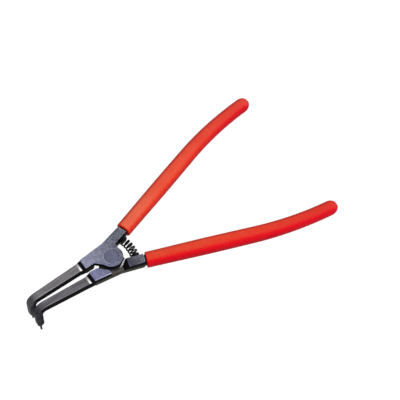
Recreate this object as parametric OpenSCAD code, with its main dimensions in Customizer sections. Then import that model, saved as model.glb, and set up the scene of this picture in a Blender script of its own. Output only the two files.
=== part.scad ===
// Circlip pliers with bent tips, for external retaining rings.
// Millimetres. The jaws point to -X and the handles to +X. Z is the pivot axis, and the origin
// is on that axis at the underside of the joint. Squeezing the handles spreads the tips.

/* [Joint] */
// Thickness of the forged joint
head_t = 9.4; // [8.4:0.1:11]
// Radius of each lever's round lap plate about the pivot
lobe_r = 11.2; // [10.4:0.1:12]
// Gap between the two lap faces
lap_gap = 0.1; // [0.04:0.02:0.3]
// Room around the other lever's lap plate
lobe_room = 1.7; // [1:0.1:2.4]
// Distance from the pivot to the end of the jaw block
jaw_end = 26.6; // [24:0.1:32]
// Half of the gap between the two jaw blocks at that corner
jaw_in = 3; // [2.6:0.1:3.6]
// Half of the gap between the two jaw blocks at their ends
jaw_in_end = 2.5; // [2.2:0.1:3]
// Half of the width over the jaw blocks at their ends
jaw_out = 13.6; // [13.4:0.1:15]
// Half of the width over the joint at the pivot
waist_out = 16.7; // [15.5:0.1:18.5]
// Distance from the pivot to the corner where the lap plate leaves the jaw block
jaw_corner = 17.2; // [16.5:0.1:19]
// Gap between the jaw block's shoulder and the other lever's lap plate
shoulder_gap = 4.9; // [4:0.1:6]
// Distance from the pivot to the outer end of the jaw block's shoulder
shoulder_x = 9.6; // [8.5:0.1:11]
// Depth of the round spot face that the other lever's lap plate turns in
spot_depth = 0.5; // [0.2:0.1:0.8]
// Distance from the pivot to the front of the handle block
block_x = 10.5; // [9.5:0.1:11.5]
// Half of the gap between the two handle blocks at their fronts
block_in = 9.6; // [9:0.1:10.5]
// Length of the sloping front of the handle block
ramp_run = 6.3; // [4:0.1:7]
// Slant of that front across the handle block in degrees
ramp_slant = 13.5; // [5:0.5:20]

/* [Rivet] */
// Diameter of the rivet's flush heads
rivet_head_d = 14; // [12:0.1:15]
// Height of each rivet head
rivet_head_h = 2.2; // [1.5:0.1:3]
// Diameter of the rivet's shank
rivet_d = 9; // [7:0.1:10]
// Running clearance around the rivet
rivet_clear = 0.05; // [0.02:0.01:0.09]

/* [Prong] */
// Distance from the pivot to the start of the bend
prong_len = 79; // [70:0.5:95]
// Half of the gap between the prongs at their roots
prong_in_root = 3.5; // [3.2:0.1:3.8]
// Half of the gap between the prongs at the bend
prong_in_tip = 2.1; // [2:0.1:3]
// Width of a prong at its root
prong_w_root = 9.3; // [8.4:0.1:9.5]
// Width of a prong at the bend
prong_w_tip = 7.8; // [7:0.1:8.6]
// Thickness of a prong at its root
prong_t_root = 7.4; // [6.4:0.1:8]
// Thickness of a prong at the bend
prong_t_tip = 6.8; // [6:0.1:7.4]
// Height of the prong's mid plane above the underside of the joint
prong_z = 3.7; // [3.5:0.1:4.2]
// Length of the slope from the jaw block down to the prong
step_run = 3.6; // [2:0.1:4]
// Length of the fillet between that slope and the prong
step_fillet = 3; // [1:0.1:4]
// Rounding of the prong's edges
prong_edge = 0.8; // [0.4:0.1:1.2]

/* [Bent leg and tip] */
// Bend radius on the middle of the bar
bend_r = 7; // [4:0.1:8]
// Length of the leg from the bend to the shoulder
leg_len = 16.2; // [12:0.1:30]
// Width of the leg at the shoulder
leg_w = 6.8; // [6:0.1:7.4]
// Rounding of the leg's edges at the shoulder
leg_edge = 1.5; // [0.8:0.1:2]
// Outward lean of the leg in degrees
leg_splay = 3; // [0:0.5:6]
// Height of the cone between the shoulder and the pin
nose_len = 5.5; // [3:0.1:7]
// Diameter of the end of the cone
nose_d = 3.1; // [2.9:0.1:3.6]
// Diameter of the tip pin where it enters the ring
pin_d = 2; // [1.6:0.1:2.2]
// Diameter of the tip pin where it sits in the leg
pin_seat_d = 2.4; // [2.3:0.1:2.7]
// Length of the tip pin that stands out of the cone
pin_len = 7; // [4:0.1:9]
// Length of the tip pin that sits in the leg
pin_seat = 9; // [6:0.1:12]

/* [Handle] */
// Angle of the straight handle to the middle line in degrees
handle_angle = 19.7; // [18:0.1:22]
// Distance from the pivot to the line of the straight handle
handle_offset = 9.8; // [9.4:0.1:11]
// Length of the straight handle line, from beside the pivot to the bow
straight_len = 136; // [110:1:150]
// Radius of the handle's inward bow
bow_r = 337; // [280:1:420]
// Width of the bare shank at its end before the grip
shank_w = 9.6; // [9:0.1:10.4]
// Cut of the shank's outer corner at that end
shank_corner = 1.4; // [0.8:0.1:2.2]
// Length of the thinner tang that stays bare between the shank and the grip
neck_len = 1.4; // [1:0.1:4]
// Width of the tang inside the grip
tang_w = 8.6; // [7.5:0.1:9]
// Thickness of the tang inside the grip
tang_t = 7.8; // [7:0.1:9]
// Chamfer of the tang's edges
tang_edge = 0.8; // [0.4:0.1:1.5]

/* [Grip] */
// Place of the grip's front end along the handle line
grip_start = 31; // [30:0.5:40]
// Place of the grip's rear end along the handle line
grip_end = 224.2; // [200:0.1:240]
// Width of the grip at its front
grip_w_front = 14.8; // [13.5:0.1:16]
// Width of the grip at its fullest place
grip_w_full = 15.4; // [13.5:0.1:17]
// Width of the grip near its rear end
grip_w_end = 14.1; // [13:0.1:15]
// Thickness of the grip at its front
grip_t_front = 14.1; // [13:0.1:15]
// Thickness of the grip at its fullest place
grip_t_full = 14.7; // [13:0.1:16]
// Thickness of the grip near its rear end
grip_t_end = 13.4; // [13:0.1:14]
// Distance from the grip's front to its fullest place
grip_full_at = 62; // [40:1:90]
// Corner radius of the grip's section
grip_corner = 5.8; // [3:0.1:6.2]
// Rounding of the grip's rear end across the handle
grip_end_r = 6.3; // [3:0.1:6.3]
// Rounding of the grip's rear end along the handle
grip_end_run = 8.5; // [4:0.1:12]
// Rounding of the grip's front rim
grip_rim_r = 1; // [0.3:0.1:1.4]
// Thickness of the grip's closed rear end
grip_cap = 7; // [6:0.5:12]
// Clearance between the tang and the grip
grip_clear = 0.1; // [0.04:0.02:0.2]

/* [Return spring] */
// Distance from the pivot to the middle of the spring
spring_x = 21; // [19.5:0.1:21.5]
// Outer diameter of the spring
spring_d = 9.2; // [8.6:0.1:9.4]
// Diameter of the spring wire
wire_d = 1.6; // [1:0.1:1.6]
// Number of open coils
coils = 5.25; // [4:0.25:6]
// Number of closed coils at each end
end_coils = 1; // [1:0.25:1.5]
// Gap between the spring and its seats
spring_gap = 0.2; // [0.1:0.05:0.4]
// Diameter of the pegs inside the spring
peg_d = 5.4; // [4:0.1:5.5]
// Length of a peg that stands out of the shank
peg_len = 3.2; // [2:0.1:4]
// Length of a peg that sits in the shank
peg_seat = 4; // [3:0.1:5]
// Clearance of pressed pins and pegs in their holes
press_clear = 0.01; // [0.01:0.01:0.02]

/* [Hidden] */
$fn = 64;
STEEL = [0.30, 0.30, 0.33];
BLACK = [0.10, 0.10, 0.11];
RED = [0.85, 0.16, 0.12];

// Overlap of solids that become one piece
weld = 0.05;
// Corner steps of the bars' and the grips' sections
bar_steps = 3;
grip_steps = 5;
// Steps of the bend, of the grip's round end and of the grip along its length
bend_steps = 8;
dome_steps = 5;
grip_rings = 26;
// Sides of the spring wire, and rings to each coil
wire_sides = 8;
wire_rings = 18;
// Pitch of the spring's closed coils in wire diameters
closed_pitch = 1.04;
// Angle of the grip's round end where its flat cap begins, and the least corner radius there
dome_deg = 85;
dome_corner = 0.6;
// Inset of the prong's root inside the jaw block's end, and its overlap with the block
root_inset = 0.3;
root_overlap = 1;
// Swelling of the section where the slope meets the fillet at the prong's root, and steps of that fillet
fillet_swell = 0.4;
fillet_steps = 3;
// Chamfer of a pin's or peg's free end
pin_chamfer = 0.25;
// Places on the lap plate's rim, in degrees, where its straight edges meet the round
rim_jaw_deg = 250;
rim_neck_deg = 22;

lap_z = head_t / 2;

// The handle line: straight, then bowed inwards. Place s is counted along the line from the
// point beside the pivot.
along = [cos(handle_angle), sin(handle_angle)];
across = [-sin(handle_angle), cos(handle_angle)];
function bow_deg(s) = max(0, s - straight_len) / bow_r * 180 / PI;
function line_at(s) =
    let (b = bow_deg(s))
    across * handle_offset + along * (min(s, straight_len) + bow_r * sin(b))
    - across * bow_r * (1 - cos(b));
function line_across(s) =
    let (a = handle_angle - bow_deg(s))
    [-sin(a), cos(a)];

// Corners of the joint's plan, for the upper lever
plate_start_in = [-jaw_end, jaw_in_end];
plate_start_out = [-jaw_end, jaw_out];
corner = [-jaw_corner, jaw_in];
waist = [0, waist_out];
rim_jaw = lobe_r * [cos(rim_jaw_deg), sin(rim_jaw_deg)];
rim_neck = lobe_r * [cos(rim_neck_deg), sin(rim_neck_deg)];
block_corner = [block_x, block_in];
shank_end = grip_start - neck_len;
shank_in = line_at(shank_end) - across * shank_w / 2;
shank_out = line_at(shank_end) + across * (shank_w / 2 - shank_corner);
shank_side = line_at(shank_end - shank_corner) + across * shank_w / 2;
// The shoulder runs at 45 degrees, beside the slanting edge of the other lever's lap plate, from the
// block's tapering inner side
shoulder_sum = jaw_corner - jaw_in + shoulder_gap * sqrt(2);
taper = (jaw_in - jaw_in_end) / (jaw_end - jaw_corner);
shoulder_y = (jaw_in_end + taper * (jaw_end - shoulder_sum)) / (1 - taper);
shoulder_start = [shoulder_y - shoulder_sum, shoulder_y];
shoulder_in = [-shoulder_x, shoulder_sum - shoulder_x];
shoulder_out = [-shoulder_x, waist_out - (waist_out - jaw_out) * shoulder_x / jaw_end];
block_out = waist + (shank_side - waist) * block_x / shank_side.x;

plate_plan = [plate_start_in, corner, rim_jaw, rim_neck, block_corner, shank_in, shank_out,
    shank_side, waist, plate_start_out];
jaw_block_plan = [plate_start_in, shoulder_start, shoulder_in, shoulder_out, plate_start_out];
handle_block_plan = [[0, block_in], block_corner, shank_in, shank_out, shank_side, waist];
spot_pad_plan = [shoulder_in, shoulder_out, waist, block_out, block_corner];

// The spring lies on an arc, so that its ends lie flat on the slanting shanks
wall_deg = atan2(shank_in.y - block_in, shank_in.x - block_x);
spring_c = [block_x - block_in / tan(wall_deg), 0];
spring_r = spring_x - spring_c.x;
coil_r = (spring_d - wire_d) / 2;
turns = coils + 2 * end_coils;
// Arc angle from the spring's middle to the wire's middle at either end
wire_end_deg = wall_deg - (wire_d / 2 + spring_gap) / spring_r * 180 / PI;
// Share of the arc that one end's closed coils take
closed = end_coils * wire_d * closed_pitch / (2 * spring_r * wire_end_deg * PI / 180);

// A closed outline with round corners, half sizes a and b, corner radius r
function round_rect(a, b, r, steps) =
    [for (q = [0:3])
        let (cx = (q == 0 || q == 3) ? a - r : r - a, cy = q < 2 ? b - r : r - b)
        for (i = [0:steps])
            let (w = 90 * (q + i / steps))
            [cx + r * cos(w), cy + r * sin(w)]];

function side_faces(rings, n, first, out) =
    [for (i = [0:rings - 2])
        for (j = [0:n - 1])
            let (k = (j + 1) % n, a = first + i * n + j, b = first + i * n + k)
            each out ? [[a, a + n, b + n], [a, b + n, b]] : [[a, b + n, a + n], [a, b, b + n]]];

// A closed solid through rings of equal point counts
module loft(rings) {
    n = len(rings[0]);
    m = len(rings);
    start_cap = [[for (j = [0:n - 1]) j]];
    end_cap = [[for (j = [n - 1:-1:0]) (m - 1) * n + j]];
    polyhedron(points = [for (r = rings) each r],
        faces = concat(start_cap, side_faces(m, n, 0, true), end_cap));
}

// A sleeve with an open front and a closed rear end, through outer and inner rings
module sleeve(outer, inner) {
    n = len(outer[0]);
    first = n * len(outer);
    last = first + n * (len(inner) - 1);
    rim = [for (j = [0:n - 1])
        let (k = (j + 1) % n)
        each [[j, k, first + k], [j, first + k, first + j]]];
    rear_cap = [[for (j = [n - 1:-1:0]) first - n + j]];
    cavity_cap = [[for (j = [0:n - 1]) last + j]];
    polyhedron(points = [for (r = concat(outer, inner)) each r],
        faces = concat(side_faces(len(outer), n, 0, true), rear_cap, rim,
            side_faces(len(inner), n, first, false), cavity_cap));
}

// Places what is made for the upper lever on the lower one, turned over about the middle line
module turned_over() {
    translate([0, 0, head_t]) rotate([180, 0, 0]) children();
}

// Places what is made for the upper lever on the lower one, mirrored
module mirrored() {
    mirror([0, 1, 0]) children();
}

module rivet_hole() {
    head_r = rivet_head_d / 2 + rivet_clear;
    translate([0, 0, -weld]) cylinder(r = rivet_d / 2 + rivet_clear, h = head_t + 2 * weld);
    translate([0, 0, head_t - rivet_head_h - rivet_clear]) cylinder(r = head_r, h = rivet_head_h + 1);
}

// What lies behind the handle block's sloping front, which starts at the lap plate
module behind_ramp(plate_z) {
    rear = shank_in.x + shank_w;
    translate(block_corner) rotate([0, 0, ramp_slant])
        translate([0, waist_out, 0]) rotate([90, 0, 0]) linear_extrude(2 * waist_out)
            polygon([[-ramp_run, plate_z], [0, 0], [rear, 0], [rear, plate_z + weld],
                [-ramp_run, plate_z + weld]]);
}

// The joint half with its lap plate on top, its two full-height blocks and its bare shank
module joint_half() {
    plate_z = lap_z + lap_gap / 2;
    difference() {
        union() {
            translate([0, 0, plate_z]) linear_extrude(head_t - plate_z) {
                polygon(plate_plan);
                circle(lobe_r);
            }
            linear_extrude(plate_z + weld) polygon(jaw_block_plan);
            translate([0, 0, plate_z - spot_depth]) linear_extrude(spot_depth + weld) polygon(spot_pad_plan);
            intersection() {
                linear_extrude(plate_z + weld) polygon(handle_block_plan);
                behind_ramp(plate_z);
            }
        }
        translate([0, 0, -weld]) cylinder(r = lobe_r + lobe_room, h = plate_z + weld);
        rivet_hole();
    }
}

// Rings of the prong: [place, inner Y, outer Y, lower Z, upper Z, edge rounding]
prong_low = prong_z - prong_t_root / 2;
prong_high = prong_z + prong_t_root / 2;
prong_outer = prong_in_root + prong_w_root;
root_in = jaw_in_end + root_inset;
root_out = jaw_out - root_inset;
slope_end = jaw_end + step_run;
prong_stations = [
    [jaw_end - root_overlap, root_in, root_out, root_inset, head_t - root_inset, root_inset],
    [jaw_end, root_in, root_out, root_inset, head_t - root_inset, root_inset],
    for (i = [0:fillet_steps])
        let (f = i / fillet_steps, swell = fillet_swell * pow(1 - f, 2))
        [slope_end + step_fillet * f, prong_in_root - swell, prong_outer + swell, prong_low,
            prong_high + swell, prong_edge],
    [prong_len, prong_in_tip, prong_in_tip + prong_w_tip, prong_z - prong_t_tip / 2,
        prong_z + prong_t_tip / 2, prong_edge]];

function station_ring(st) =
    [for (p = round_rect((st[4] - st[3]) / 2, (st[2] - st[1]) / 2, st[5], bar_steps))
        [-st[0], (st[1] + st[2]) / 2 + p.y, (st[3] + st[4]) / 2 + p.x]];

tip_y = prong_in_tip + prong_w_tip / 2;
function bend_ring(b) =
    [for (p = round_rect(prong_t_tip / 2, prong_w_tip / 2, prong_edge, bar_steps))
        let (r = bend_r + p.x)
        [-prong_len - r * sin(b), tip_y + p.y, prong_z - bend_r + r * cos(b)]];

// Point on the leg's middle line at a distance d below the bend
function leg_at(d) = [-prong_len - bend_r, tip_y + d * tan(leg_splay), prong_z - bend_r - d];
function leg_ring(d, w, t, r) =
    [for (p = round_rect(t / 2, w / 2, r, bar_steps)) leg_at(d) + [-p.x, p.y, 0]];

nose_at = leg_at(leg_len + nose_len);

// Carries children from +Z to the axis of the tip pin, with the origin at the end of the cone
module at_nose() {
    translate(nose_at) rotate([180 + leg_splay, 0, 0]) children();
}

// The jaw prong with its bent leg and the hole for the tip pin
module prong() {
    nose_r = nose_d / 2;
    difference() {
        loft(concat(
            [for (st = prong_stations) station_ring(st)],
            [for (i = [1:bend_steps]) bend_ring(90 * i / bend_steps)],
            [leg_ring(leg_len, leg_w, leg_w, leg_edge),
             leg_ring(leg_len + nose_len, nose_d, nose_d, nose_r - weld)]));
        at_nose() translate([0, 0, -pin_seat - press_clear])
            cylinder(r = pin_seat_d / 2 + press_clear, h = pin_seat + nose_len);
    }
}

module tip_pin() {
    at_nose() {
        translate([0, 0, -pin_seat]) cylinder(d = pin_seat_d, h = pin_seat);
        cylinder(d = pin_d, h = pin_len - pin_chamfer);
        translate([0, 0, pin_len - pin_chamfer])
            cylinder(d1 = pin_d, d2 = pin_d - 2 * pin_chamfer, h = pin_chamfer);
    }
}

// Carries children from +Z to the axis of the spring peg, with the origin on the shank's wall
module at_spring_seat() {
    seat = spring_c + spring_r * [cos(wall_deg), sin(wall_deg)];
    translate([seat.x, seat.y, lap_z]) rotate([0, 0, wall_deg]) rotate([90, 0, 0]) children();
}

module spring_peg() {
    at_spring_seat() {
        translate([0, 0, -peg_seat]) cylinder(d = peg_d, h = peg_seat + peg_len - pin_chamfer);
        translate([0, 0, peg_len - pin_chamfer])
            cylinder(d1 = peg_d, d2 = peg_d - 2 * pin_chamfer, h = pin_chamfer);
    }
}

// A section of the handle at place s, half width a, half thickness b, corner radius r
function handle_ring(s, a, b, r, steps) =
    let (c = line_at(s), n = line_across(s))
    [for (p = round_rect(a, b, r, steps)) [c.x + n.x * p.x, c.y + n.y * p.x, lap_z + p.y]];

// The tang, from inside the shank's end to the rear of the grip's cavity
module tang() {
    start = shank_end - root_overlap;
    end = grip_end - grip_cap;
    loft([for (i = [0:grip_rings])
        handle_ring(start + (end - start) * i / grip_rings, tang_w / 2, tang_t / 2, tang_edge, 1)]);
}

// Joint half, shank and tang of one lever, with the hole for the spring peg
module arm() {
    difference() {
        union() {
            joint_half();
            tang();
        }
        at_spring_seat() translate([0, 0, -peg_seat - press_clear])
            cylinder(r = peg_d / 2 + press_clear, h = 2 * peg_seat);
    }
}

// Size of the grip at place s, between its values at the front, at the fullest place and at the rear
function blend(a, b, f) = a + (b - a) * (1 - cos(180 * f)) / 2;
function grip_size(s, front, full, end) =
    let (d = s - grip_start, rear = grip_end - grip_start - grip_full_at)
    d < grip_full_at ? blend(front, full, d / grip_full_at)
        : blend(full, end, min(1, (d - grip_full_at) / rear));
function grip_ring(s, inset) =
    handle_ring(s, grip_size(s, grip_w_front, grip_w_full, grip_w_end) / 2 - inset,
        grip_size(s, grip_t_front, grip_t_full, grip_t_end) / 2 - inset,
        max(grip_corner - inset, dome_corner), grip_steps);

module grip() {
    dome_start = grip_end - grip_end_run;
    body_start = grip_start + grip_rim_r;
    cavity_end = grip_end - grip_cap + grip_clear;
    sleeve(
        concat(
            [for (w = [0, 45]) grip_ring(grip_start + grip_rim_r * (1 - cos(w)), grip_rim_r * (1 - sin(w)))],
            [for (i = [0:grip_rings]) grip_ring(body_start + (dome_start - body_start) * i / grip_rings, 0)],
            [for (i = [1:dome_steps])
                let (w = dome_deg * i / dome_steps)
                grip_ring(dome_start + grip_end_run * sin(w), grip_end_r * (1 - cos(w)))]),
        [for (i = [0:grip_rings])
            handle_ring(grip_start + (cavity_end - grip_start) * i / grip_rings,
                tang_w / 2 + grip_clear, tang_t / 2 + grip_clear, tang_edge, grip_steps)]);
}

// Share of the spring's arc reached after a share f of its turns: closed, open, closed
function arc_share(f) =
    let (e = end_coils / turns)
    f < e ? closed * f / e
        : f > 1 - e ? 1 - closed * (1 - f) / e
        : closed + (1 - 2 * closed) * (f - e) / (1 - 2 * e);

function wire_ring(f) =
    let (psi = wire_end_deg * (2 * arc_share(f) - 1), phi = 360 * turns * f)
    let (radial = [cos(psi), sin(psi), 0], tangent = [-sin(psi), cos(psi), 0])
    let (out = radial * sin(phi) + [0, 0, cos(phi)])
    let (middle = [spring_c.x, 0, lap_z] + radial * spring_r + out * coil_r)
    [for (j = [0:wire_sides - 1])
        let (w = 360 * j / wire_sides)
        middle + wire_d / 2 * (tangent * cos(w) + out * sin(w))];

module upper_lever() {
    color(STEEL) {
        arm();
        prong();
    }
}

module lower_lever() {
    color(STEEL) {
        turned_over() arm();
        mirrored() prong();
    }
}

module pivot_rivet() {
    color(STEEL) {
        cylinder(d = rivet_d, h = head_t);
        cylinder(d = rivet_head_d, h = rivet_head_h);
        translate([0, 0, head_t - rivet_head_h]) cylinder(d = rivet_head_d, h = rivet_head_h);
    }
}

module return_spring() {
    rings = ceil(turns * wire_rings);
    color(BLACK) loft([for (i = [0:rings]) wire_ring(i / rings)]);
}

module upper_spring_peg() {
    color(BLACK) spring_peg();
}

module lower_spring_peg() {
    color(BLACK) turned_over() spring_peg();
}

module upper_grip() {
    color(RED) grip();
}

module lower_grip() {
    color(RED) turned_over() grip();
}

module upper_tip_pin() {
    color(STEEL) tip_pin();
}

module lower_tip_pin() {
    color(STEEL) mirrored() tip_pin();
}

upper_lever();
lower_lever();
pivot_rivet();
return_spring();
upper_spring_peg();
lower_spring_peg();
upper_grip();
lower_grip();
upper_tip_pin();
lower_tip_pin();
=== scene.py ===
"""Circlip pliers with bent tips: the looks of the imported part, in metres, in the part's own frame.

The jaws point to -X, the handles to +X, the pivot axis is Z, and the bent tips point to -Z.
"""
import math

import bpy
import numpy as np
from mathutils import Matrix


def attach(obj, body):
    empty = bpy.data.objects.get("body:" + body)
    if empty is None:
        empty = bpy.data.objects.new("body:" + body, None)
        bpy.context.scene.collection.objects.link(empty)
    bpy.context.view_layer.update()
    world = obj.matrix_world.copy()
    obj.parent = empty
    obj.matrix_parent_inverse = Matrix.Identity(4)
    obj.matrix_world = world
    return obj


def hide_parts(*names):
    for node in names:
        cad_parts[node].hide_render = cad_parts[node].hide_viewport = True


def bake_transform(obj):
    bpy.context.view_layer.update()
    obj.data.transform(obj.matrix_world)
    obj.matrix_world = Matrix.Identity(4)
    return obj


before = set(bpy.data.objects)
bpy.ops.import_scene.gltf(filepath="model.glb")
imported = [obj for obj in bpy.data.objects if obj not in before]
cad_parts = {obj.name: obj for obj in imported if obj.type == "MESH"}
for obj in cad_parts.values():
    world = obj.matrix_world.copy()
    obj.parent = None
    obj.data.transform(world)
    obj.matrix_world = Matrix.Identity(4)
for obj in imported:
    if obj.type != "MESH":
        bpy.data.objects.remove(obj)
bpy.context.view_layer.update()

MM = 0.001

# Sizes in millimetres, the same as the solids have
HEAD_T = 9.4
LAP_Z = HEAD_T / 2

HANDLE_ANGLE = math.radians(19.7)
HANDLE_OFFSET = 9.8
STRAIGHT_LEN = 136.0
BOW_R = 337.0
TANG_W, TANG_T, TANG_EDGE = 8.6, 7.8, 0.8
SHANK_W, NECK_LEN = 9.6, 1.4
BLOCK_X, BLOCK_IN = 10.5, 9.6

GRIP_START, GRIP_END, GRIP_FULL_AT = 31.0, 224.2, 62.0
GRIP_W = (14.8, 15.4, 14.1)
GRIP_T = (14.1, 14.7, 13.4)
GRIP_CORNER, GRIP_RIM_R = 5.8, 1.0
GRIP_END_R, GRIP_END_RUN, GRIP_END_CORNER = 6.3, 8.5, 0.6
GRIP_CAP, GRIP_CLEAR = 7.0, 0.1
SHANK_END = GRIP_START - NECK_LEN

SPRING_X, SPRING_D, WIRE_D = 21.0, 9.2, 1.6
COILS, END_COILS = 5.25, 1.0
SPRING_GAP = 0.2

RIVET_HEAD_R, RIVET_HEAD_H, RIVET_R = 7.0, 2.2, 4.5
PEG_R, PEG_LEN, PEG_SEAT = 2.7, 3.2, 4.0
PIN_R, PIN_SEAT_R, PIN_LEN, PIN_SEAT = 1.0, 1.2, 7.0, 9.0

JAW_END, JAW_OUT, WAIST_OUT = -26.6, 13.6, 16.7
SLOPE_END, FILLET_END = -30.2, -33.2
PRONG_IN, PRONG_OUT, PRONG_Z = (3.5, 2.1), (12.8, 9.9), 3.7
BEND_START, BEND_R = -79.0, 7.0
LEG_X = BEND_START - BEND_R
LEG_Y, LEG_LEN, NOSE_LEN, LEG_SPLAY = 6.0, 16.2, 5.5, math.radians(3)
SPOT_R, CUT_START, CUT_ANGLE = 12.9, 11.0, math.radians(57)

# Broken or rounded edges, and the small flat caps that close the lathe forms at their axis
LEVER_EDGE, RIVET_EDGE, PEG_EDGE, PIN_EDGE, PIN_CHAMFER = 0.25, 0.12, 0.7, 0.25, 0.1
RIVET_CAP_R, PEG_CAP_R, PIN_CAP_R = 0.4, 0.2, 0.1
# The skin's finer sections stand this far inside the solid's coarser ones, so that none of them stands proud
GRIP_SKIN = 0.07
# Pitch of the closed end coils in wire diameters
CLOSED_PITCH = 1.04

# Fineness of the meshes
CAVITY_RINGS, RIM_RINGS, BODY_RINGS, DOME_RINGS = 60, 7, 160, 18
DOME_STOP = math.radians(86)
COIL_STEPS, WIRE_SIDES = 48, 16
RIVET_SIDES, PEG_SIDES, PIN_SIDES = 96, 48, 40


def linear(code):
    """Linear colour of an sRGB hex code: the low end is divided by 12.92, the rest raised to the power 2.4."""
    srgb = np.array([int(code[i:i + 2], 16) for i in (0, 2, 4)]) / 255
    light = np.where(srgb <= 0.04045, srgb / 12.92, ((srgb + 0.055) / 1.055) ** 2.4)
    return (*light.tolist(), 1.0)


def per_mm(size):
    """Texture scale at which one feature of the pattern is size millimetres wide."""
    return 1 / (size * MM)


def add(tree, kind, links=None, **settings):
    """Adds one node. Settings become its properties; links gives an input a value, an output or another node,
    of which the first output in use is taken."""
    node = tree.nodes.new(kind)
    for name, value in settings.items():
        setattr(node, name, value)
    for socket, value in (links or {}).items():
        if isinstance(value, bpy.types.Node):
            value = next(output for output in value.outputs if not output.is_unavailable)
        if isinstance(value, bpy.types.NodeSocket):
            tree.links.new(value, node.inputs[socket])
        else:
            node.inputs[socket].default_value = value
    return node


def new_material(name):
    """An empty material and its node tree."""
    material = bpy.data.materials.new(name)
    material.use_nodes = True
    material.node_tree.nodes.clear()
    return material, material.node_tree


def ring_faces(rings, around):
    """Quads of a grid of rings that each close round on themselves: every point joins its neighbour in the
    ring and the same two points of the next ring."""
    row = np.arange(rings - 1)[:, None] * around
    here = np.arange(around)
    after = (here + 1) % around
    return np.stack([row + here, row + after, row + around + after, row + around + here], axis=-1).reshape(-1, 4)


def closed_piece(name, grid, sharp_deg=40):
    """A closed mesh from a (rings, points, 3) grid in millimetres: quads between the rings and a flat cap on the
    first and the last ring. The faces are turned outwards by the sign of the enclosed volume, which is the sum of
    the triple products of each quad's two triangles and of the fans over the caps."""
    rings, around = grid.shape[:2]
    points = grid.reshape(-1, 3) * MM
    quads = ring_faces(rings, around)
    first = np.arange(around)[::-1]
    last = np.arange(around) + (rings - 1) * around
    fans = [np.stack([np.full(around - 2, cap[0]), cap[1:-1], cap[2:]], axis=-1) for cap in (first, last)]
    triangles = np.concatenate([quads[:, [0, 1, 2]], quads[:, [0, 2, 3]], *fans])
    a, b, c = (points[triangles[:, i]] for i in range(3))
    if np.einsum("ij,ij->", a, np.cross(b, c)) < 0:
        quads, first, last = quads[:, ::-1], first[::-1], last[::-1]
    mesh = bpy.data.meshes.new(name)
    mesh.from_pydata(points.tolist(), [], quads.tolist() + [first.tolist(), last.tolist()])
    mesh.polygons.foreach_set("use_smooth", np.ones(len(mesh.polygons), dtype=bool))
    mesh.set_sharp_from_angle(angle=math.radians(sharp_deg))
    piece = bpy.data.objects.new(name, mesh)
    bpy.context.scene.collection.objects.link(piece)
    return piece


def place_piece(piece, body, node, material):
    """Rides a piece on its body, in place of its CAD node, with its finish."""
    piece.data.materials.append(material)
    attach(piece, body)
    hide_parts(node)


def turned_over(grid):
    """The lower lever's place for what is made for the upper one: half a turn about the middle line at mid height."""
    return np.stack([grid[..., 0], -grid[..., 1], HEAD_T - grid[..., 2]], axis=-1)


def mirrored(grid):
    """The lower lever's place for what hangs below both levers alike: Y changes sign."""
    return grid * np.array([1.0, -1.0, 1.0])


def round_section(half_w, half_t, corner, steps=12):
    """Round-cornered rectangles, one row each: a quarter circle of radius corner about a point that lies corner
    inside the half width and the half thickness, in each quadrant. The sizes are columns."""
    quarter = np.arange(4)[:, None]
    angle = (quarter * math.pi / 2 + np.linspace(0, math.pi / 2, steps)).ravel()
    right = np.repeat([1, -1, -1, 1], steps)
    up = np.repeat([1, 1, -1, -1], steps)
    return (right * (half_w - corner) + corner * np.cos(angle),
            up * (half_t - corner) + corner * np.sin(angle))


def handle_line(run):
    """Middle line of the upper handle: it leaves the pivot HANDLE_OFFSET to its side, runs straight for
    STRAIGHT_LEN and then bends back on an arc of radius BOW_R. Gives the points and the heading."""
    bend = np.maximum(0, run - STRAIGHT_LEN) / BOW_R
    ahead = np.minimum(run, STRAIGHT_LEN) + BOW_R * np.sin(bend)
    aside = HANDLE_OFFSET - BOW_R * (1 - np.cos(bend))
    x = ahead * math.cos(HANDLE_ANGLE) - aside * math.sin(HANDLE_ANGLE)
    y = ahead * math.sin(HANDLE_ANGLE) + aside * math.cos(HANDLE_ANGLE)
    return x, y, HANDLE_ANGLE - bend


def grip_size(run, sizes):
    """Size of the grip along the handle: half a cosine wave from the front to the fullest place, and another
    from there to the rear."""
    front, full, rear = sizes
    rise = np.clip((run - GRIP_START) / GRIP_FULL_AT, 0, 1)
    fall = np.clip((run - GRIP_START - GRIP_FULL_AT) / (GRIP_END - GRIP_START - GRIP_FULL_AT), 0, 1)
    return (front + (full - front) * (1 - np.cos(math.pi * rise)) / 2
            + (rear - full) * (1 - np.cos(math.pi * fall)) / 2)


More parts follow.
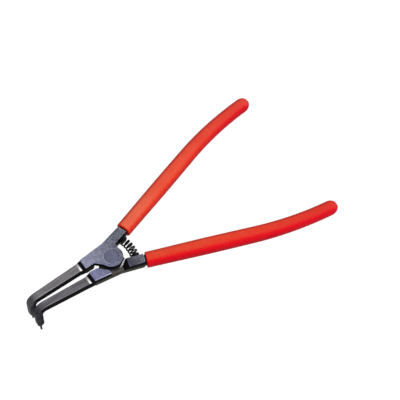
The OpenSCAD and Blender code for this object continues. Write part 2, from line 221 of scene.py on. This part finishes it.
def grip_surface():
    """The sleeve as one run of round-cornered sections along the handle line: from the closed end of the cavity
    forwards to the open front, round the rim, back along the outside, and over the round end. On the rim and on
    the end the section shrinks by r(1 - sin) or r(1 - cos) of a quarter circle or ellipse."""
    cavity = np.linspace(GRIP_END - GRIP_CAP + GRIP_CLEAR, GRIP_START, CAVITY_RINGS)
    rim = np.linspace(0, math.pi / 2, RIM_RINGS)
    body = np.linspace(GRIP_START + GRIP_RIM_R, GRIP_END - GRIP_END_RUN, BODY_RINGS)[1:]
    dome = np.linspace(0, DOME_STOP, DOME_RINGS)[1:]
    run = np.concatenate([cavity, GRIP_START + GRIP_RIM_R * (1 - np.cos(rim)), body,
                          GRIP_END - GRIP_END_RUN * (1 - np.sin(dome))])
    inset = np.concatenate([np.zeros_like(cavity), GRIP_RIM_R * (1 - np.sin(rim)), np.zeros_like(body),
                            GRIP_END_R * (1 - np.cos(dome))])
    inside = np.arange(len(run)) < len(cavity)
    half_w = np.where(inside, TANG_W / 2 + GRIP_CLEAR, grip_size(run, GRIP_W) / 2 - GRIP_SKIN - inset)[:, None]
    half_t = np.where(inside, TANG_T / 2 + GRIP_CLEAR, grip_size(run, GRIP_T) / 2 - GRIP_SKIN - inset)[:, None]
    corner = np.where(inside, TANG_EDGE, np.maximum(GRIP_CORNER - inset, GRIP_END_CORNER))[:, None]
    side, height = round_section(half_w, half_t, corner)
    x, y, heading = (value[:, None] for value in handle_line(run))
    return np.stack([x - np.sin(heading) * side, y + np.cos(heading) * side, LAP_Z + height], axis=-1)


def spring_arc():
    """The arc that meets both shanks squarely: its centre is where the two shanks' inner walls would meet. Gives
    the angle of the wall, the centre's X and the radius."""
    x, y, heading = handle_line(SHANK_END)
    wall_x = x + math.sin(heading) * SHANK_W / 2
    wall_y = y - math.cos(heading) * SHANK_W / 2
    angle = math.atan2(wall_y - BLOCK_IN, wall_x - BLOCK_X)
    centre = BLOCK_X - BLOCK_IN / math.tan(angle)
    return angle, centre, SPRING_X - centre


WALL_ANGLE, SPRING_CENTRE, SPRING_R = spring_arc()


def spring_surface():
    """Round wire wound about an arc that meets both shanks squarely. Along the wire the coil's angle grows evenly,
    and the place on the arc grows slowly in the closed end coils and evenly between them; each wire section is a
    circle across the arc's direction and the coil's own radius."""
    turns = COILS + 2 * END_COILS
    coil_r = (SPRING_D - WIRE_D) / 2
    end_angle = WALL_ANGLE - (WIRE_D / 2 + SPRING_GAP) / SPRING_R
    closed = END_COILS * WIRE_D * CLOSED_PITCH / (2 * SPRING_R * end_angle)
    share = np.linspace(0, 1, int(turns * COIL_STEPS) + 1)
    knots = [0, END_COILS / turns, 1 - END_COILS / turns, 1]
    around_pivot = (end_angle * (2 * np.interp(share, knots, [0, closed, 1 - closed, 1]) - 1))[:, None, None]
    coil_angle = (2 * math.pi * turns * share)[:, None, None]
    radial = np.concatenate([np.cos(around_pivot), np.sin(around_pivot), np.zeros_like(around_pivot)], axis=-1)
    tangent = np.concatenate([-np.sin(around_pivot), np.cos(around_pivot), np.zeros_like(around_pivot)], axis=-1)
    outward = radial * np.sin(coil_angle) + np.array([0, 0, 1.0]) * np.cos(coil_angle)
    middle = np.array([SPRING_CENTRE, 0, LAP_Z]) + radial * SPRING_R + outward * coil_r
    section = np.linspace(0, 2 * math.pi, WIRE_SIDES, endpoint=False)[None, :, None]
    return middle + WIRE_D / 2 * (tangent * np.cos(section) + outward * np.sin(section))


def turned_surface(profile, foot, axis, sides):
    """A lathe form: each (radius, height) pair of the profile goes once round the axis through foot. The two
    directions square to the axis come from cross products."""
    radius, height = np.array(profile, dtype=float).T[:, :, None, None]
    axis = np.array(axis, dtype=float) / np.linalg.norm(axis)
    first = np.cross(axis, [1.0, 0.0, 0.0])
    first /= np.linalg.norm(first)
    second = np.cross(axis, first)
    angle = np.linspace(0, 2 * math.pi, sides, endpoint=False)[None, :, None]
    return np.array(foot) + axis * height + radius * (first * np.cos(angle) + second * np.sin(angle))


def rounded(radius, height, edge, turn_from, turn_to, steps=5):
    """Profile points on a quarter circle of radius edge that rounds off one corner of a lathe profile."""
    angle = np.linspace(math.radians(turn_from), math.radians(turn_to), steps)
    return list(zip(radius + edge * np.cos(angle), height + edge * np.sin(angle)))


def blackened_forging():
    """Forged steel, ground on its flat faces and phosphated black. The eye sees mottled satin flats, bluer at the
    jaws and greyer at the shanks, prongs lined lengthwise, bent legs darkened by painted shade, dull black walls
    paled downwards by a painted reflection of the floor, a lap floor kept black as painted shade, and painted
    highlights on the spot face's rim, in the prong's fillet, at the shank's end and along the lower jaw's edge. The
    tones were matched to the photograph, so they hold some of its light and shade."""
    material, tree = new_material("forged_steel_phosphated")
    source = add(tree, "ShaderNodeTexCoord").outputs
    place = source["Object"]
    facing = add(tree, "ShaderNodeSeparateXYZ", {0: source["Normal"]}).outputs

    # Places in millimetres; the two levers' heads are alike, so some are read in the upper half
    in_mm = add(tree, "ShaderNodeVectorMath", {0: place, "Scale": 1 / MM}, operation="SCALE")
    spot = add(tree, "ShaderNodeSeparateXYZ", {0: in_mm}).outputs
    upper = add(tree, "ShaderNodeMath", {0: spot["Y"], 1: 0.0}, operation="GREATER_THAN")
    side = add(tree, "ShaderNodeMath", {0: spot["Y"]}, operation="ABSOLUTE")
    upper_half = add(tree, "ShaderNodeCombineXYZ", {0: spot["X"], 1: side})
    radius = add(tree, "ShaderNodeVectorMath", {0: upper_half}, operation="LENGTH")
    run, across_cut = (
        add(tree, "ShaderNodeVectorMath", {0: upper_half, 1: (math.cos(angle), math.sin(angle), 0)},
            operation="DOT_PRODUCT")
        for angle in (HANDLE_ANGLE, CUT_ANGLE))
    off_lap = add(tree, "ShaderNodeMath", {0: spot["Z"], 1: LAP_Z}, operation="SUBTRACT")
    off_lap = add(tree, "ShaderNodeMath", {0: off_lap}, operation="ABSOLUTE")
    jaw_out = add(tree, "ShaderNodeMapRange", {0: spot["X"], 1: JAW_END, 2: 0.0, 3: JAW_OUT, 4: WAIST_OUT})
    from_jaw_edge = add(tree, "ShaderNodeMath", {0: spot["Y"], 1: jaw_out}, operation="ADD")
    along_prong = {0: spot["X"], 1: FILLET_END, 2: BEND_START}
    inner = add(tree, "ShaderNodeMapRange", {**along_prong, 3: PRONG_IN[0], 4: PRONG_IN[1]})
    outer = add(tree, "ShaderNodeMapRange", {**along_prong, 3: -PRONG_OUT[0], 4: -PRONG_OUT[1]})
    prong_edge = add(tree, "ShaderNodeMix", {0: upper, 2: outer, 3: inner})
    from_prong_edge = add(tree, "ShaderNodeMath", {0: spot["Y"], 1: prong_edge}, operation="SUBTRACT")
    level = add(tree, "ShaderNodeMath", {0: facing["Z"]}, operation="ABSOLUTE")
    wall = add(tree, "ShaderNodeMath", {0: facing["Y"]}, operation="ABSOLUTE")

    # Cloudy phosphate, about 5 mm across, and its crystals, drawn at 1.4 mm because real ones are far too fine
    cloud = add(tree, "ShaderNodeTexNoise", {"Vector": place, "Scale": per_mm(5), "Detail": 3.0, "Roughness": 0.6})
    grit = add(tree, "ShaderNodeTexNoise", {"Vector": place, "Scale": per_mm(1.4), "Detail": 1.0})
    specks = add(tree, "ShaderNodeMath", {0: grit, 1: 2.0, 2: cloud}, operation="MULTIPLY_ADD")
    # Grinding lines along the prong, drawn 1.2 mm apart because real ones are finer than a pixel
    stretched = add(tree, "ShaderNodeMapping", {"Vector": place, "Scale": (0.05, 1.0, 0.3)})
    lines = add(tree, "ShaderNodeTexNoise",
                {"Vector": stretched, "Scale": per_mm(1.2), "Detail": 4.0, "Roughness": 0.7})

    # Shares: each goes from 0 to 1 between two places, or between the two values after them, in the inputs' order
    ends = {
        "prong": (spot["X"], JAW_END, JAW_END - 0.4),
        "past_slope": (spot["X"], SLOPE_END + 0.5, SLOPE_END - 0.2),
        "past_fillet": (spot["X"], FILLET_END + 1.6, FILLET_END + 0.8),
        "leg": (spot["X"], BEND_START - 3, LEG_X - 1.5),
        "shank": (run, SHANK_END - 0.1, SHANK_END - 0.2),
        "shank_end": (run, SHANK_END - 0.6, SHANK_END - 0.3),
        # The lap floor stays out of the ground finish and takes the black wall tone: painted shade
        "above_floor": (off_lap, 0.2, 0.35),
        "near_lap": (off_lap, 0.8, 0.6),
        "below_lap": (spot["Z"], LAP_Z + 0.8, LAP_Z - 1),
        "cut": (across_cut, CUT_START - 0.15, CUT_START + 0.15),
        "spot_face": (radius, SPOT_R + 0.1, SPOT_R),
        "rivet": (radius, RIVET_HEAD_R + 0.05, RIVET_HEAD_R),
        "before_rivet": (spot["X"], -4, -6),
        "to_jaws": (spot["X"], 14, -22),
        "behind_joint": (spot["X"], 9, 10),
        "to_joint": (spot["X"], 21, 11, 0.05, 0.8),
        "jaw_edge": (from_jaw_edge, 1.1, 0.7),
        "on_jaw": (spot["X"], -9.2, -9.5),
        "jaw_edge_fade": (spot["X"], -24, -10, 0.35, 1.0),
        # Painted highlight along the prong's edge on the -Y side
        "edge_highlight": (from_prong_edge, 1.7, 1.2),
        "across_prong": (from_prong_edge, 1.5, 7),
        "level": (level, 0.82, 0.92),
        "prong_top": (wall, 0.45, 0.2),
        "mottle": (specks, 1.2, 1.8),
        "lines": (lines, 0.34, 0.66),
        "satin": (grit, 0.3, 0.7, 0.34, 0.44),
    }
    share = {name: add(tree, "ShaderNodeMapRange", {0: value, **dict(enumerate(limits, 1))})
             for name, (value, *limits) in ends.items()}
    share["upper"], share["cloud"] = upper, cloud
    share["head"] = add(tree, "ShaderNodeMath", {0: 1.0, 1: share["prong"]}, operation="SUBTRACT")
    share["off_leg"] = add(tree, "ShaderNodeMapRange", {0: share["leg"], 3: 1.0, 4: 0.3})
    share["lower_shank"] = add(tree, "ShaderNodeMath", {0: share["behind_joint"], 1: upper}, operation="SUBTRACT",
                               use_clamp=True)
    rim_w = 0.6
    share["rivet_rim"] = add(tree, "ShaderNodeMath", {0: radius, 1: RIVET_HEAD_R + rim_w, 2: rim_w},
                             operation="COMPARE")

    # Where shares overlap: painted highlights show the spot face's cut as a bright crescent towards the handles, the
    # plate's rim beside the rivet on the jaws' side and the lower jaw's near edge; painted shade lies on the lower
    # shank by the joint and on the head's faces near the lap, and a painted reflection of the floor pales the head's
    # walls below the lap
    overlaps = {
        "pad": ("near_lap", "head"),
        "crescent": ("cut", "spot_face", "pad"),
        "bright_rim": ("rivet_rim", "before_rivet"),
        "shank_shade": ("to_joint", "lower_shank"),
        "bright_edge": ("jaw_edge", "on_jaw", "jaw_edge_fade"),
        "head_flat": ("level", "above_floor", "shank"),
        "prong_flat": ("prong_top", "past_slope", "off_leg"),
        "floor_reflection": ("below_lap", "head"),
    }
    for name, (first, *others) in overlaps.items():
        share[name] = share[first]
        for other in others:
            share[name] = add(tree, "ShaderNodeMath", {0: share[name], 1: share[other]}, operation="MULTIPLY")
    # Painted highlights: a band in the prong's fillet, and the crescent on the spot face's cut
    fillet = add(tree, "ShaderNodeMath", {0: share["past_slope"], 1: share["past_fillet"]}, operation="SUBTRACT")
    share["bare"] = add(tree, "ShaderNodeMath", {0: fillet, 1: share["crescent"]}, operation="MAXIMUM")
    # Ground faces: level ones on the head, all but the side walls on the prongs
    ground = add(tree, "ShaderNodeMix", {0: share["prong"], 2: share["head_flat"], 3: share["prong_flat"]})
    share["ground"] = add(tree, "ShaderNodeMath", {0: ground, 1: share["crescent"]}, operation="MAXIMUM")

    # Tones: a name, the share to mix by, and two colours or earlier tones. A name that comes again lies over the
    # earlier one. Where upper divides two colours, the lower lever has the first; the upper lever's lighter tones are
    # painted light
    mixes = (
        ("jaw_dark", "upper", "585974", "666678"),
        ("jaw_light", "upper", "717290", "828298"),
        ("dark", "to_jaws", "3C3D44", "jaw_dark"),
        ("light", "to_jaws", "62636E", "jaw_light"),
        ("rivet", "mottle", "4B4C5C", "5D5E74"),
        # Painted shade for the head's faces near the lap
        ("pad", "mottle", "3A3837", "4C4A48"),
        ("head", "mottle", "dark", "light"),
        # Painted shade on the lower shank towards the joint
        ("head", "shank_shade", "head", "322F3B"),
        ("head", "rivet", "head", "rivet"),
        # Painted highlights on the plate's rim beside the rivet and along the lower jaw's near edge
        ("head", "bright_rim", "head", "727484"),
        ("head", "bright_edge", "head", "A3A2B4"),
        ("head", "pad", "head", "pad"),
        # A painted highlight runs along the prong's edge on the -Y side
        ("line_dark", "upper", "3A383B", "484649"),
        ("line_light", "upper", "67656A", "777578"),
        # The prong's top darkens along the bend into the legs: painted shade
        ("leg", "lines", "2C2B2F", "4A494E"),
        ("prong", "lines", "line_dark", "line_light"),
        ("prong", "edge_highlight", "prong", "line_light"),
        ("prong", "leg", "prong", "leg"),
        # The painted highlights are brightest near the prong's edge line and dimmer away from it
        ("bare", "across_prong", "F4F2F4", "979599"),
        ("flat", "prong", "head", "prong"),
        # Painted highlight at the shank's end
        ("flat", "shank_end", "flat", "A19EA3"),
        ("flat", "bare", "flat", "bare"),
        # Walls: black; paler on the legs as painted light, the upper leg's most, and paler towards the underside of
        # the head as a painted reflection of the floor
        ("leg_dark", "upper", "2A292E", "4C4B51"),
        ("leg_light", "upper", "46454B", "6E6D74"),
        ("leg_wall", "lines", "leg_dark", "leg_light"),
        ("floor_reflection", "mottle", "3A3835", "5A5751"),
        ("wall", "cloud", "08070B", "161519"),
        ("wall", "leg", "wall", "leg_wall"),
        ("wall", "floor_reflection", "wall", "floor_reflection"),
        ("finish", "ground", "wall", "flat"),
    )
    tone = {}
    for name, factor, *pair in mixes:
        low, high = (tone[colour] if colour in tone else linear(colour) for colour in pair)
        tone[name] = add(tree, "ShaderNodeMix", {0: share[factor], 6: low, 7: high}, data_type="RGBA")

    rough = add(tree, "ShaderNodeMix", {0: share["ground"], 2: 0.7, 3: share["satin"]})
    relief = add(tree, "ShaderNodeMix", {0: share["prong"], 2: grit, 3: lines})
    bump = add(tree, "ShaderNodeBump", {"Strength": 0.25, "Distance": 0.06 * MM, "Height": relief})
    steel = add(tree, "ShaderNodeBsdfPrincipled",
                {"Base Color": tone["finish"], "Metallic": share["ground"], "Roughness": rough,
                 "Specular IOR Level": 0.02, "Normal": bump})
    add(tree, "ShaderNodeOutputMaterial", {"Surface": steel})
    return material


def dipped_vinyl():
    """PVC plastisol, dipped and cured. The eye sees a warm orange-red top, painted light with a broad soft painted
    highlight, crimson sides with painted shade underneath and on the +Y side, and faint orange peel. The tones were
    matched to the photograph, so they hold some of its light: the upper grip is more orange as painted light, and the
    rear more crimson as painted shade."""
    material, tree = new_material("pvc_plastisol_dipped")
    source = add(tree, "ShaderNodeTexCoord").outputs
    facing = add(tree, "ShaderNodeSeparateXYZ", {0: source["Normal"]}).outputs
    in_mm = add(tree, "ShaderNodeVectorMath", {0: source["Object"], "Scale": 1 / MM}, operation="SCALE")
    spot = add(tree, "ShaderNodeSeparateXYZ", {0: in_mm}).outputs
    upper = add(tree, "ShaderNodeMath", {0: spot["Y"], 1: 0.0}, operation="GREATER_THAN")
    # Painted light: the top is paler where the surface faces this way
    pale_way = (0.5, 0.1, 0.86)
    to_pale = add(tree, "ShaderNodeVectorMath", {0: source["Normal"], 1: pale_way}, operation="DOT_PRODUCT")
    # Uneven colour, about 14 mm across, and orange peel, drawn at 1.8 mm so that it shows
    cloud = add(tree, "ShaderNodeTexNoise", {"Vector": source["Object"], "Scale": per_mm(14), "Detail": 4.0})
    peel = add(tree, "ShaderNodeTexNoise", {"Vector": source["Object"], "Scale": per_mm(1.8), "Detail": 2.0})

    # Shares: each goes from 0 to 1 between two places, or between the two values after them, in the inputs' order
    ends = {
        # Painted shade: darker underneath, and on the sides that face +Y
        "upward": (facing["Z"], -0.35, 0.35),
        "far_side": (facing["Y"], 0.05, 0.65, 0.0, 0.4),
        "pale": (to_pale, 0.48, 0.9),
        # The painted light on the top grows towards the front
        "pale_along": (spot["X"], 45, 110, 1.15, 0.9),
        "peel": (peel, 0.3, 0.7, -0.22, 0.14),
        # On the upper grip painted light makes the sides more orange towards the front and a painted highlight marks
        # the front; painted shade deepens the rear of both grips
        "orange": (spot["X"], 110, 185, 1.0, 0.1),
        "front": (spot["X"], 85, 45, 0.0, 0.42),
        "rear": (spot["X"], 105, 190, 0.0, 0.35),
        "rough": (cloud, 0.3, 0.7, 0.48, 0.58),
    }
    share = {name: add(tree, "ShaderNodeMapRange", {0: value, **dict(enumerate(limits, 1))})
             for name, (value, *limits) in ends.items()}
    share["upper"], share["cloud"] = upper, cloud
    for name in ("orange", "front"):
        share[name] = add(tree, "ShaderNodeMath", {0: share[name], 1: upper}, operation="MULTIPLY")
    pale = add(tree, "ShaderNodeMath", {0: share["pale"], 1: share["pale_along"]}, operation="MULTIPLY")
    share["pale"] = add(tree, "ShaderNodeMath", {0: pale, 1: share["peel"]}, operation="ADD", use_clamp=True)

    # Tones, mixed as those of the forged steel are. The crimson side darkens underneath, at the rear and on the +Y
    # side as painted shade; the orange top, lighter on the upper grip and at its front, is painted light. Where upper
    # divides two colours, the lower grip has the first
    mixes = (
        ("side", "orange", "E4061F", "E43020"),
        ("skin", "upward", "A8081F", "side"),
        ("deep", "upper", "DE3E28", "E44A34"),
        ("bright", "upper", "E65038", "F0644C"),
        ("top", "cloud", "deep", "bright"),
        ("top", "front", "top", "E87A5A"),
        ("skin", "pale", "skin", "top"),
        ("skin", "rear", "skin", "C81028"),
        ("skin", "far_side", "skin", "8A1A14"),
    )
    tone = {}
    for name, factor, *pair in mixes:
        low, high = (tone[colour] if colour in tone else linear(colour) for colour in pair)
        tone[name] = add(tree, "ShaderNodeMix", {0: share[factor], 6: low, 7: high}, data_type="RGBA")

    bump = add(tree, "ShaderNodeBump", {"Strength": 0.18, "Distance": 0.08 * MM, "Height": peel})
    vinyl = add(tree, "ShaderNodeBsdfPrincipled",
                {"Base Color": tone["skin"], "Roughness": share["rough"], "IOR": 1.53, "Specular IOR Level": 0.08,
                 "Specular Tint": linear("FFDC89"), "Normal": bump})
    add(tree, "ShaderNodeOutputMaterial", {"Surface": vinyl})
    return material


def dark_steel(name, grain, detail, tones, roughness, shine):
    """Steel with a near-black finish, speckled between two tones and two roughnesses. The grain is given in
    millimetres and drawn far coarser than the real one, which would not show."""
    material, tree = new_material(name)
    place = add(tree, "ShaderNodeTexCoord").outputs["Object"]
    grit = add(tree, "ShaderNodeTexNoise", {"Vector": place, "Scale": per_mm(grain), "Detail": detail})
    tone = add(tree, "ShaderNodeMix", {0: grit, 6: linear(tones[0]), 7: linear(tones[1])}, data_type="RGBA")
    rough = add(tree, "ShaderNodeMapRange", {0: grit, 1: 0.3, 2: 0.7, 3: roughness[0], 4: roughness[1]})
    steel = add(tree, "ShaderNodeBsdfPrincipled",
                {"Base Color": tone, "Roughness": rough, "Specular IOR Level": shine})
    add(tree, "ShaderNodeOutputMaterial", {"Surface": steel})
    return material


# Levers: the forged solids keep their shape, with their sharp edges broken
forging = blackened_forging()
for name in ("upper_lever", "lower_lever"):
    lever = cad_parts[name]
    lever.data.materials.clear()
    lever.data.materials.append(forging)
    joined = lever.modifiers.new("joined", "WELD")
    joined.merge_threshold = 0.002 * MM
    flats = lever.modifiers.new("flats", "DECIMATE")
    flats.decimate_type = "DISSOLVE"
    flats.angle_limit = math.radians(1)
    edge = lever.modifiers.new("edge", "BEVEL")
    edge.width = LEVER_EDGE * MM
    edge.segments = 3
    edge.limit_method = "ANGLE"
    edge.angle_limit = math.radians(38)
    edge.use_clamp_overlap = True
    shading = lever.modifiers.new("shading", "WEIGHTED_NORMAL")
    shading.keep_sharp = True

# Grips
vinyl = dipped_vinyl()
grip = grip_surface()
place_piece(closed_piece("upper_grip_skin", grip), "upper_arm", "upper_grip", vinyl)
place_piece(closed_piece("lower_grip_skin", turned_over(grip)), "lower_arm", "lower_grip", vinyl)

# Rivet: flush heads with broken rims
rivet_half = [(RIVET_CAP_R, HEAD_T), *rounded(RIVET_HEAD_R - RIVET_EDGE, HEAD_T - RIVET_EDGE, RIVET_EDGE, 90, 0),
              (RIVET_HEAD_R, HEAD_T - RIVET_HEAD_H), (RIVET_R, HEAD_T - RIVET_HEAD_H)]
rivet_profile = rivet_half + [(radius, HEAD_T - height) for radius, height in reversed(rivet_half)]
rivet = closed_piece("rivet_turned", turned_surface(rivet_profile, (0, 0, 0), (0, 0, 1), RIVET_SIDES))
place_piece(rivet, "lower_arm", "pivot_rivet", forging)

# Spring and its pegs: drawn wire, oil-hardened, nearly black with a dull sheen
wire = dark_steel("spring_steel_oil_hardened", grain=0.9, detail=3.0, tones=("060607", "131314"),
                  roughness=(0.4, 0.6), shine=0.06)
seat = np.array([SPRING_CENTRE + SPRING_R * math.cos(WALL_ANGLE), SPRING_R * math.sin(WALL_ANGLE), LAP_Z])
peg_axis = (math.sin(WALL_ANGLE), -math.cos(WALL_ANGLE), 0)
peg_profile = [(PEG_CAP_R, -PEG_SEAT), (PEG_R, -PEG_SEAT),
               *rounded(PEG_R - PEG_EDGE, PEG_LEN - PEG_EDGE, PEG_EDGE, 0, 90), (PEG_CAP_R, PEG_LEN)]
peg = turned_surface(peg_profile, seat, peg_axis, PEG_SIDES)
place_piece(closed_piece("upper_peg_turned", peg), "upper_arm", "upper_spring_peg", wire)
place_piece(closed_piece("lower_peg_turned", turned_over(peg)), "lower_arm", "lower_spring_peg", wire)

spring = closed_piece("spring_wound", spring_surface(), sharp_deg=60)
spring.data.materials.append(wire)
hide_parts("return_spring")
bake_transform(spring)

# Tip pins: tool steel, hardened and phosphated, dark grey with a fine satin shine
pin_steel = dark_steel("tool_steel_hardened_phosphated", grain=0.6, detail=2.0, tones=("08080A", "18181B"),
                       roughness=(0.35, 0.5), shine=0.08)
leg_reach = LEG_LEN + NOSE_LEN
nose = np.array([LEG_X, LEG_Y + leg_reach * math.tan(LEG_SPLAY), PRONG_Z - BEND_R - leg_reach])
pin_axis = (0, math.sin(LEG_SPLAY), -math.cos(LEG_SPLAY))
pin_profile = [(PIN_CAP_R, -PIN_SEAT), (PIN_SEAT_R, -PIN_SEAT), (PIN_SEAT_R, -PIN_CHAMFER),
               (PIN_SEAT_R - PIN_CHAMFER, 0), (PIN_R, 0),
               *rounded(PIN_R - PIN_EDGE, PIN_LEN - PIN_EDGE, PIN_EDGE, 0, 90), (PIN_CAP_R, PIN_LEN)]
pin = turned_surface(pin_profile, nose, pin_axis, PIN_SIDES)
place_piece(closed_piece("upper_pin_turned", pin), "upper_arm", "upper_tip_pin", pin_steel)
place_piece(closed_piece("lower_pin_turned", mirrored(pin)), "lower_arm", "lower_tip_pin", pin_steel)

# Camera at the photograph's angle: distances in metres, lens and sensor in millimetres
scene = bpy.context.scene
TARGET = np.array([105.56, 5.71, 4.7]) * MM
AZIMUTH, ELEVATION, DISTANCE = math.radians(-34.82), math.radians(58.57), 1.5447
LENS, SENSOR, SIGHT = 144.09, 36.0, 20.0
BACK = np.array([math.sin(AZIMUTH) * math.cos(ELEVATION), -math.cos(AZIMUTH) * math.cos(ELEVATION),
                 math.sin(ELEVATION)])
camera_data = bpy.data.cameras.new("camera")
camera_data.sensor_width = SENSOR
camera_data.lens = LENS
camera_data.clip_end = SIGHT
camera = bpy.data.objects.new("camera", camera_data)
camera.location = TARGET + BACK * DISTANCE
camera.rotation_euler = (math.pi / 2 - ELEVATION, 0, AZIMUTH)
scene.collection.objects.link(camera)
scene.camera = camera

# Softboxes: name, direction from the target, then distance, width and height in metres, and radiance
SOFTBOXES = (
    ("softbox_above", (0.298, 0.428, 0.853), 1.1, 0.75, 0.75, 1.0),
    ("edge_strip", (0.30, -0.30, 0.90), 1.2, 0.25, 0.35, 8.0),
    ("front_fill", (-0.10, -0.75, 0.65), 1.3, 0.8, 0.5, 3.4),
    ("side_fill", (0.69, -0.66, 0.25), 1.0, 0.4, 0.4, 3.5),
)


def soft_lamp(name, direction, distance, width, height, radiance):
    """A softbox that looks at the camera's target. Its power is radiance times pi times its area."""
    data = bpy.data.lights.new(name, "AREA")
    data.shape = "RECTANGLE"
    data.size, data.size_y = width, height
    data.energy = radiance * math.pi * width * height
    lamp = bpy.data.objects.new(name, data)
    aim = np.array(direction) / np.linalg.norm(direction)
    lamp.location = TARGET + aim * distance
    lamp.rotation_euler = (math.acos(aim[2]), 0, math.atan2(aim[1], aim[0]) + math.pi / 2)
    scene.collection.objects.link(lamp)


for softbox in SOFTBOXES:
    soft_lamp(*softbox)

# Floor: the tool rests on its tip pins and on the undersides of its grips. Places in millimetres, reach in metres
FLOOR_FRONT = np.array([LEG_X, 0, -32.0])
FLOOR_REAR = np.array([205.0, 0, -1.6])
FLOOR_REACH = 3.0
slope = math.atan2(FLOOR_REAR[2] - FLOOR_FRONT[2], FLOOR_REAR[0] - FLOOR_FRONT[0])
reach = np.array([[-1.0, -1.0], [1.0, -1.0], [1.0, 1.0], [-1.0, 1.0]]) * FLOOR_REACH
floor_points = np.stack([reach[:, 0] * math.cos(slope), reach[:, 1], reach[:, 0] * math.sin(slope)], axis=-1)
floor_mesh = bpy.data.meshes.new("floor")
floor_mesh.from_pydata((floor_points + FLOOR_FRONT * MM).tolist(), [], [(0, 1, 2, 3)])
floor = bpy.data.objects.new("floor", floor_mesh)
scene.collection.objects.link(floor)


def background_share(tree):
    """1 for the rays that show the background: from the camera, off shiny surfaces or through clear ones."""
    ray = add(tree, "ShaderNodeLightPath").outputs
    seen = add(tree, "ShaderNodeMath", {0: ray["Is Camera Ray"], 1: ray["Is Glossy Ray"]}, operation="MAXIMUM")
    return add(tree, "ShaderNodeMath", {0: seen, 1: ray["Is Transmission Ray"]}, operation="MAXIMUM")


# White paper: the lens and shiny surfaces see it white with the tool's soft shadow, and from below it is clear
paper, tree = new_material("studio_paper_matt")
sheet = add(tree, "ShaderNodeBsdfDiffuse", {"Color": linear("A8A8A8")})
veil = add(tree, "ShaderNodeBsdfDiffuse", {"Color": linear("7C7C7C")})
glow = add(tree, "ShaderNodeEmission", {"Strength": 0.9})
white = add(tree, "ShaderNodeAddShader", {0: veil, 1: glow})
shown = add(tree, "ShaderNodeMixShader", {0: background_share(tree), 1: sheet, 2: white})
clear = add(tree, "ShaderNodeBsdfTransparent")
below = add(tree, "ShaderNodeNewGeometry").outputs["Backfacing"]
sided = add(tree, "ShaderNodeMixShader", {0: below, 1: shown, 2: clear})
add(tree, "ShaderNodeOutputMaterial", {"Surface": sided})
floor_mesh.materials.append(paper)

# World: an even tent, white to the eye and weaker as a lamp
TENT_LIGHT, TENT_WHITE = 0.54, 1.0
world = bpy.data.worlds.new("tent")
world.use_nodes = True
scene.world = world
tree = world.node_tree
tree.nodes.clear()
strength = add(tree, "ShaderNodeMapRange", {0: background_share(tree), 3: TENT_LIGHT, 4: TENT_WHITE})
tent = add(tree, "ShaderNodeBackground", {"Color": (1, 1, 1, 1), "Strength": strength})
add(tree, "ShaderNodeOutputWorld", {"Surface": tent})

scene.view_settings.view_transform = "Standard"
